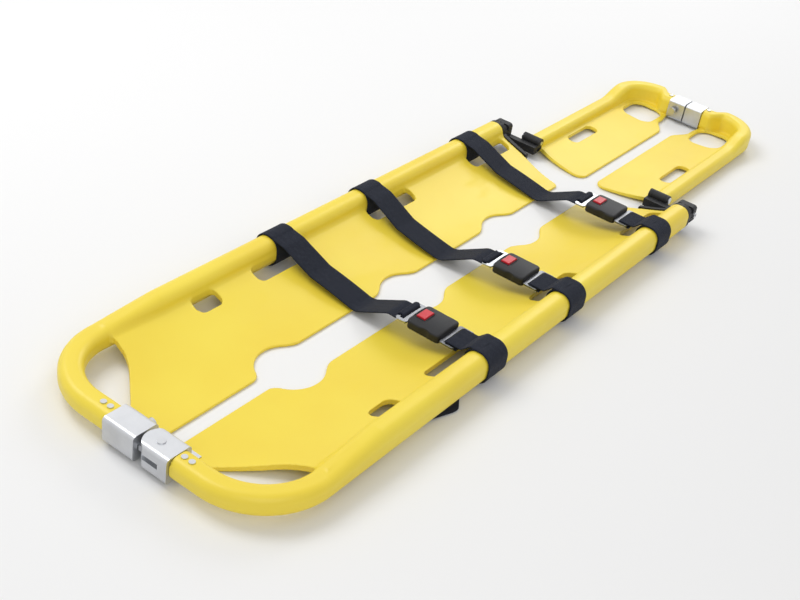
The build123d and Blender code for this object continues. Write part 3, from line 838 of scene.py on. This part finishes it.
def at_stations(path: Array, low: Array | float, high: Array | float) -> tuple[Array, Array]:
    """The two edge lines of a ribbon whose path is seen along the length.

    Args:
        path: Widths and heights.
        low: Station of the edge nearer the head.
        high: Station of the other edge.

    Returns:
        Two rows of points with station, width and height.
    """
    edges = []
    for edge in (low, high):
        along = np.broadcast_to(np.asarray(edge, dtype=float), len(path))
        edges.append(np.column_stack([along, path]))
    return edges[0], edges[1]


@dataclass(frozen=True)
class Ribbon:
    """Webbing carried between two edge lines, with half-round selvedges."""

    left: Array
    right: Array
    closed: bool = False
    thickness: float = 2.4

    def section(self, width: float) -> tuple[Array, Array]:
        """The cut end: places across from -1 to 1, and heights in half thicknesses."""
        turn = np.linspace(-np.pi / 2, np.pi / 2, 5)
        half = self.thickness / width
        flat = np.linspace(-1, 1, 15)[1:-1] * (1 - half)
        right = 1 - half + half * np.cos(turn)
        across = np.concatenate([right, flat[::-1], -right[::-1], flat])
        full = 0.93 + 0.07 * flat**6
        through = np.concatenate([np.sin(turn), full, np.sin(turn)[::-1], -full])
        return across, through

    def mesh(self, name: str) -> bpy.types.Mesh:
        """Sweeps the section between the edge lines.

        A point lies between the two edges by its place across, and off that line by its height
        along the cross product of the width and the direction of travel. The map holds metres
        across and along.

        Args:
            name: Name of the mesh.

        Returns:
            The closed mesh.
        """
        middle = (self.left + self.right) / 2
        side = (self.right - self.left) / 2
        if self.closed:
            tangent = np.roll(middle, -1, axis=0) - np.roll(middle, 1, axis=0)
        else:
            tangent = np.gradient(middle, axis=0)
        normal = np.cross(side, tangent)
        normal /= np.linalg.norm(normal, axis=1, keepdims=True)
        width = 2 * float(np.linalg.norm(side, axis=1).max())
        across, through = self.section(width)
        rise = through * self.thickness / 2
        points = middle[:, None] + across[None, :, None] * side[:, None]
        points = points + rise[None, :, None] * normal[:, None]
        points[..., 0] -= HALF_LENGTH
        rows, columns = points.shape[:2]
        along = np.concatenate([[0], np.cumsum(np.linalg.norm(np.diff(middle, axis=0), axis=1))])
        grid = np.arange(rows * columns).reshape(rows, columns)
        if self.closed:
            grid = np.concatenate([grid, grid[:1]])
            along = np.append(along, along[-1] + np.linalg.norm(middle[0] - middle[-1]))
        far = np.roll(grid, -1, axis=1)
        quads = np.stack([grid[:-1], grid[1:], far[1:], far[:-1]], axis=-1).reshape(-1, 4)
        u = np.append(across, across[:1]) * width / 2 * MM
        v = along * MM
        corner_v = np.stack([v[:-1], v[1:], v[1:], v[:-1]], axis=-1)[:, None, :]
        corner_u = np.stack([u[:-1], u[:-1], u[1:], u[1:]], axis=-1)[None]
        corner_v = corner_v.repeat(columns, axis=1)
        corner_u = corner_u.repeat(len(v) - 1, axis=0)
        uv = np.stack([corner_u, corner_v], axis=-1).reshape(-1, 2)
        faces = [tuple(quad) for quad in quads.tolist()]
        if not self.closed:
            faces += [tuple(grid[0][::-1].tolist()), tuple(grid[-1].tolist())]
            ends = np.concatenate([across[::-1], across]) * width / 2 * MM
            uv = np.concatenate([uv, np.column_stack([ends, np.zeros(2 * columns)])])
        made = bpy.data.meshes.new(name)
        made.from_pydata(points.reshape(-1, 3) * MM, [], faces)
        made.polygons.foreach_set("use_smooth", np.ones(len(faces), dtype=bool))
        made.uv_layers.new(name="weave").data.foreach_set("uv", uv.ravel())
        return made


def join_meshes(name: str, meshes: Sequence[bpy.types.Mesh], finish: Finish) -> bpy.types.Object:
    """One object from several meshes, at the origin.

    Args:
        name: Name of the object.
        meshes: The meshes to join.
        finish: Its material.

    Returns:
        The new object, in the scene.
    """
    objects = [bpy.data.objects.new(f"{name}_{k}", mesh) for k, mesh in enumerate(meshes)]
    for piece in objects:
        bpy.context.scene.collection.objects.link(piece)
    with bpy.context.temp_override(active_object=objects[0], selected_editable_objects=objects):
        bpy.ops.object.join()
    objects[0].name = name
    objects[0].data.materials.append(finish.material())
    return objects[0]


@dataclass(frozen=True)
class BuckleCover:
    """The moulded cover of a buckle, with its mouth, button well and grips.

    The cover is a crowned box. Its well clears the pressed button, and a fine groove frames it.
    """

    station: float
    mouth: float
    length: float
    plane: float
    half: float = 29.0
    corner: float = 7.0
    half_height: float = 10.0
    crown: float = 0.0035
    edge: float = 3.2
    slit: tuple[float, float, float] = (21.0, 1.7, 34.0)
    button: float = 14.0
    well: tuple[float, float, float] = (12.6, 8.3, 0.6)
    well_floor: float = 46.4
    groove: tuple[float, float, float] = (15.0, 10.6, 3.0)
    groove_half: float = 0.5
    groove_floor: float = 53.0
    grip: tuple[float, float, float, float] = (3.0, 1.2, 4.0, 0.35)
    margin: tuple[float, float] = (3.0, 2.0)
    heights: Span = (32.0, 56.0)
    cell: tuple[float, float, float] = (0.9, 0.9, 0.8)

    def shape(self, x: Array, y: Array, z: Array) -> Array:
        """The box less its mouth, its well, the groove and a shallow hollow at each side."""
        s = x + HALF_LENGTH - self.station
        middle = self.mouth - self.length / 2
        plan = rounded_box_2d(s, y - middle, self.half, self.length / 2, self.corner)
        rise = np.abs(z - self.plane) - self.half_height + self.crown * s**2
        body = rounded_and(plan, rise, self.edge)
        wide, high, deep = self.slit
        mouth = np.maximum(np.abs(s) - wide, np.abs(z - self.plane) - high)
        mouth = np.maximum(mouth, self.mouth - deep - y)
        button = y - (self.mouth - self.button)
        well = np.maximum(rounded_box_2d(s, button, *self.well), self.well_floor - z)
        line = np.abs(rounded_box_2d(s, button, *self.groove)) - self.groove_half
        groove = np.maximum(line, self.groove_floor - z)
        radius, away, back, flat = self.grip
        grip = radius - np.hypot(np.abs(s) - self.half - away, (y - middle + back) * flat)
        body = rounded_and(rounded_and(body, -mouth, 0.6), -well, 0.5)
        return rounded_and(np.maximum(body, -groove), grip, 1.0)

    def build(self, number: int) -> None:
        """Makes the cover of the buckle with this number."""
        half, ends = self.half + self.margin[0], self.margin[1]
        low = (self.station - half, self.mouth - self.length - ends, self.heights[0])
        high = (self.station + half, self.mouth + ends, self.heights[1])
        skin = skin_of(self.shape, *from_head((low, high)), self.cell)
        replaced = [f"buckle_cover_{number}"]
        place_skin(f"buckle_moulding_{number}", skin, "right_half", replaced, BLACK)


BELT_PLACES: tuple[Span, ...] = ((497.0, 5.0), (730.0, -4.0), (1035.0, 5.0))


@dataclass
class Belt:
    """A webbing belt: its straps, buckle, tongue and adjuster."""

    number: int
    station: float
    sway: float = 0.0
    tail: bool = False
    side_y: float = 205.0
    side_z: float = 33.5
    loop_half: Span = (22.4, 26.4)
    loop_radius: float = 20.4
    width: float = 50.0
    near_width: float = 49.4
    fold_width: float = 44.0
    plane: float = 44.0
    mouth: float = -78.0
    length: float = 60.0
    far_bends: tuple[float, ...] = (14.0, 24.0, 30.0, 20.0)
    near_bends: tuple[float, ...] = (7.0, 4.0, 2.0, 2.0)
    fold_bends: Span = (2.2, 2.2)
    bar: Span = (12.5, 22.6)
    bar_foot: float = 42.2
    over: float = 2.8

    @property
    def top(self) -> float:
        """Height of the top of a loop."""
        return self.side_z + self.loop_half[1]

    def ribbon(self, path: Array, width: float, closed: bool = False) -> Ribbon:
        """Webbing straight across the stretcher, which sways a little between its ends.

        The sway is the square of the sine of half a turn over the path.
        """
        sway = self.sway * np.sin(np.linspace(0, np.pi, len(path))) ** 2 * (not closed)
        middle = self.station + sway
        return Ribbon(*at_stations(path, middle - width / 2, middle + width / 2), closed=closed)

    def far_path(self) -> Array:
        """The route of the long strap, from the top of its loop to the tongue.

        It drops off the rim, hangs down to the gap between the halves and climbs to the tongue.
        """
        under = self.plane - 3.5
        points = [
            (self.side_y, self.top),
            (self.side_y - 34, self.top - 7),
            (self.side_y - 90, 26),
            (22, 8),
            (self.mouth + 38, under),
            (self.mouth + 4, under),
        ]
        return bent_path(points, self.far_bends)

    def near_path(self) -> Array:
        """The route of the short strap, from its end folded in the adjuster to its loop's top."""
        over = self.plane + self.over
        under = self.plane - 3.4
        fold = -self.mouth + self.length + 9.5
        points = [
            (self.side_y, self.top),
            (self.side_y - 16, self.top),
            (self.side_y - 30, over),
            (fold, over),
            (fold, under),
            (fold + 20, under),
        ]
        return bent_path(points, self.near_bends, 1.0)[::-1] * np.array([-1.0, 1.0])

    def loop(self, side: Side) -> bpy.types.Mesh:
        """The loop round a rim."""
        middle = (side.value * self.side_y, self.side_z)
        path = ring_path(middle, self.loop_half, self.loop_radius)
        return self.ribbon(path, self.width, closed=True).mesh("loop")

    def loose_end(self) -> bpy.types.Mesh:
        """The loose end of the near strap, which pokes out from under the rim.

        Both edges are straight between their corners, and the outer corner sags to the ground.
        """
        start = self.station - self.width / 2
        y = self.side_y
        inner = [
            (start + 6, -y + 6, 5.9),
            (start - 32, -y + 8, 5.4),
            (start - 132, -y + 14, 4.8),
        ]
        outer = [
            (start + 6, -y - 4, 5.9),
            (start - 36, -y - 3, 5.0),
            (start - 62, -y - 20, 2.2),
            (start - 67, -y - 21, 2.0),
            (start - 74, -y - 20, 2.1),
            (start - 139, -y, 4.4),
        ]
        edges = []
        for corners in (inner, outer):
            points = np.array(corners)
            steps = np.linalg.norm(np.diff(points, axis=0), axis=1)
            along = np.concatenate([[0], np.cumsum(steps)])
            even = np.linspace(0, along[-1], 70)
            edge = [np.interp(even, along, points[:, axis]) for axis in range(3)]
            edges.append(np.stack(edge, axis=1))
        return Ribbon(*edges).mesh("loose_end")

    def fold(self) -> None:
        """The webbing over the rear bar of the tongue, which leaves with the tongue."""
        front, rear = (self.mouth + place for place in self.bar)
        top = self.plane + self.over
        foot = self.bar_foot
        points = [(front, foot), (front, top), (rear, top), (rear, foot)]
        mesh = self.ribbon(bent_path(points, self.fold_bends, 0.6), self.fold_width).mesh("fold")
        piece = join_meshes(f"tongue_webbing_{self.number}", [mesh], WEBBING)
        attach(piece, f"tongue_{self.number}")

    def straps(self) -> None:
        """Makes the far and the near strap."""
        far = [self.loop(Side.LEFT), self.ribbon(self.far_path(), self.width).mesh("far_run")]
        low = self.station - self.near_width / 2
        run = Ribbon(*at_stations(self.near_path(), low, low + self.near_width))
        near = [self.loop(Side.RIGHT), run.mesh("near_run")]
        if self.tail:
            near.append(self.loose_end())
        for word, meshes, body in (("far", far, "left_half"), ("near", near, "right_half")):
            piece = join_meshes(f"{word}_webbing_{self.number}", meshes, WEBBING)
            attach(piece, body)
            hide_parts(f"{word}_strap_{self.number}")
            LOG.info("%s: %d faces on %s", piece.name, len(piece.data.polygons), body)

    def build(self) -> None:
        """Makes the straps and the buckle, and dresses the belt's metal pieces."""
        self.straps()
        self.fold()
        BuckleCover(self.station, self.mouth, self.length, self.plane).build(self.number)
        finishes = {
            "belt_tongue": CHROME,
            "strap_adjuster": DARK_CHROME,
            "buckle_button": RED,
            "buckle_latch": STEEL,
            "buckle_spring": STEEL,
        }
        for node, finish in finishes.items():
            dress(f"{node}_{self.number}", finish)


# The solids that keep their shape


def dress(node: str, finish: Finish) -> None:
    """Gives a solid of the frame its finish.

    Args:
        node: Name of the solid.
        finish: Its material.
    """
    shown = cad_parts[node]
    for slot in shown.material_slots:
        slot.material = finish.material()
    if not shown.material_slots:
        shown.data.materials.append(finish.material())
    LOG.info("%s: %s", node, finish.name)


@dataclass
class Hardware:
    """The metal and plastic fittings of the frame, and the finish of each."""

    paired: dict[str, Finish] = field(default_factory=lambda: {
        "end_cap": BLACK,
        "rail": DRAWN,
        "rail_slider": BLACK,
        "lock_collar": BLACK,
        "hinge_bracket": COATED,
        "bracket_screw": STEEL,
        "foot_knuckle": COATED,
        "hinge_pin": STEEL,
        "head_rivets": STEEL,
        "foot_rivets": STEEL,
    })
    single: dict[str, Finish] = field(default_factory=lambda: {
        "head_socket": ALUMINIUM,
        "head_clevis": ALUMINIUM,
        "head_tongue": STEEL,
        "head_pivot_pin": STEEL,
        "head_lock_plunger": STEEL,
        "foot_socket": ALUMINIUM,
        "foot_tongue_block": ALUMINIUM,
        "foot_lock_plunger": STEEL,
    })

    def build(self) -> None:
        """Dresses every fitting."""
        for side in Side:
            for node, finish in self.paired.items():
                dress(f"{side.word}_{node}", finish)
        for node, finish in self.single.items():
            dress(node, finish)


# Light, floor and camera


@dataclass(frozen=True)
class Lamp:
    """A soft square lamp: its place and size in metres and its power in watts."""

    name: str
    place: tuple[float, float, float]
    size: float
    power: float

    def build(self) -> None:
        """Hangs the lamp so that it looks at the middle of the object."""
        data = bpy.data.lights.new(self.name, "AREA")
        data.size = self.size
        data.energy = self.power
        shown = bpy.data.objects.new(self.name, data)
        shown.location = self.place
        shown.rotation_euler = Vector(self.place).to_track_quat("Z", "Y").to_euler()
        bpy.context.scene.collection.objects.link(shown)


@dataclass
class Studio:
    """A pale floor, soft lamps and a camera at the photograph's angle."""

    eye: tuple[float, float, float] = (-1.66041, -0.87217, 1.10047)
    right: tuple[float, float, float] = (0.59901429, -0.7881422, 0.14146998)
    down: tuple[float, float, float] = (-0.37408103, -0.43164926, -0.82081806)
    forward: tuple[float, float, float] = (0.70798677, 0.43876051, -0.55339312)
    lens: float = 56.147
    lamps: tuple[Lamp, ...] = (
        Lamp("key", (-0.6, 1.8, 2.6), size=1.6, power=42.0),
        Lamp("fill", (-2.2, -2.0, 2.2), size=2.2, power=22.0),
        Lamp("rim_light", (2.4, 0.6, 1.8), size=1.2, power=18.0),
    )
    floor_reach: float = 30.0
    floor_drop: float = 0.0005
    floor_tone: float = 0.86
    ambient: float = 0.55

    def camera(self) -> None:
        """Sets the camera: its columns are right, up and backwards."""
        data = bpy.data.cameras.new("camera")
        data.lens = self.lens
        data.sensor_width = 36.0
        data.clip_end = 50.0
        shown = bpy.data.objects.new("camera", data)
        columns = np.array([self.right, [-d for d in self.down], [-f for f in self.forward]]).T
        shown.matrix_world = Matrix.Translation(self.eye) @ Matrix(columns.tolist()).to_4x4()
        bpy.context.scene.collection.objects.link(shown)
        bpy.context.scene.camera = shown

    def floor(self) -> None:
        """Lays a wide pale floor under the stretcher."""
        mesh = bpy.data.meshes.new("floor")
        ways = ((-1, -1), (1, -1), (1, 1), (-1, 1))
        corners = [(x * self.floor_reach, y * self.floor_reach, -self.floor_drop) for x, y in ways]
        mesh.from_pydata(corners, [], [(0, 1, 2, 3)])
        tone = (*[self.floor_tone] * 3, 1)
        mesh.materials.append(Nodes("pale floor").surface(Base_Color=tone, Roughness=0.9))
        shown = bpy.data.objects.new("floor", mesh)
        bpy.context.scene.collection.objects.link(shown)

    def sky(self) -> None:
        """An even pale surround: white where it is seen or mirrored, softer as light."""
        world = bpy.data.worlds.new("surround")
        bpy.context.scene.world = world
        world.use_nodes = True
        tree = world.node_tree
        path = tree.nodes.new("ShaderNodeLightPath")
        seen = tree.nodes.new("ShaderNodeMath")
        seen.operation = "MAXIMUM"
        tree.links.new(path.outputs["Is Camera Ray"], seen.inputs[0])
        tree.links.new(path.outputs["Is Glossy Ray"], seen.inputs[1])
        level = tree.nodes.new("ShaderNodeMapRange")
        level.inputs["To Min"].default_value = self.ambient
        level.inputs["To Max"].default_value = 1.0
        tree.links.new(seen.outputs[0], level.inputs["Value"])
        back = tree.nodes["Background"]
        back.inputs["Color"].default_value = (1, 1, 1, 1)
        tree.links.new(level.outputs[0], back.inputs["Strength"])

    def build(self) -> None:
        """Sets up the whole studio."""
        self.camera()
        self.floor()
        self.sky()
        for lamp in self.lamps:
            lamp.build()
        bpy.context.scene.view_settings.view_transform = "Standard"


def main() -> None:
    """Builds every sub-assembly, dresses the fittings and lights the scene."""
    logging.basicConfig(level=logging.INFO, format="%(name)s %(message)s")
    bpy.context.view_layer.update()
    MainShell().build()
    FootShell().build()
    for number, (station, sway) in enumerate(BELT_PLACES, start=1):
        Belt(number, station, sway, tail=number == 1).build()
    Hardware().build()
    Studio().build()


if __name__ == "__main__":
    main()
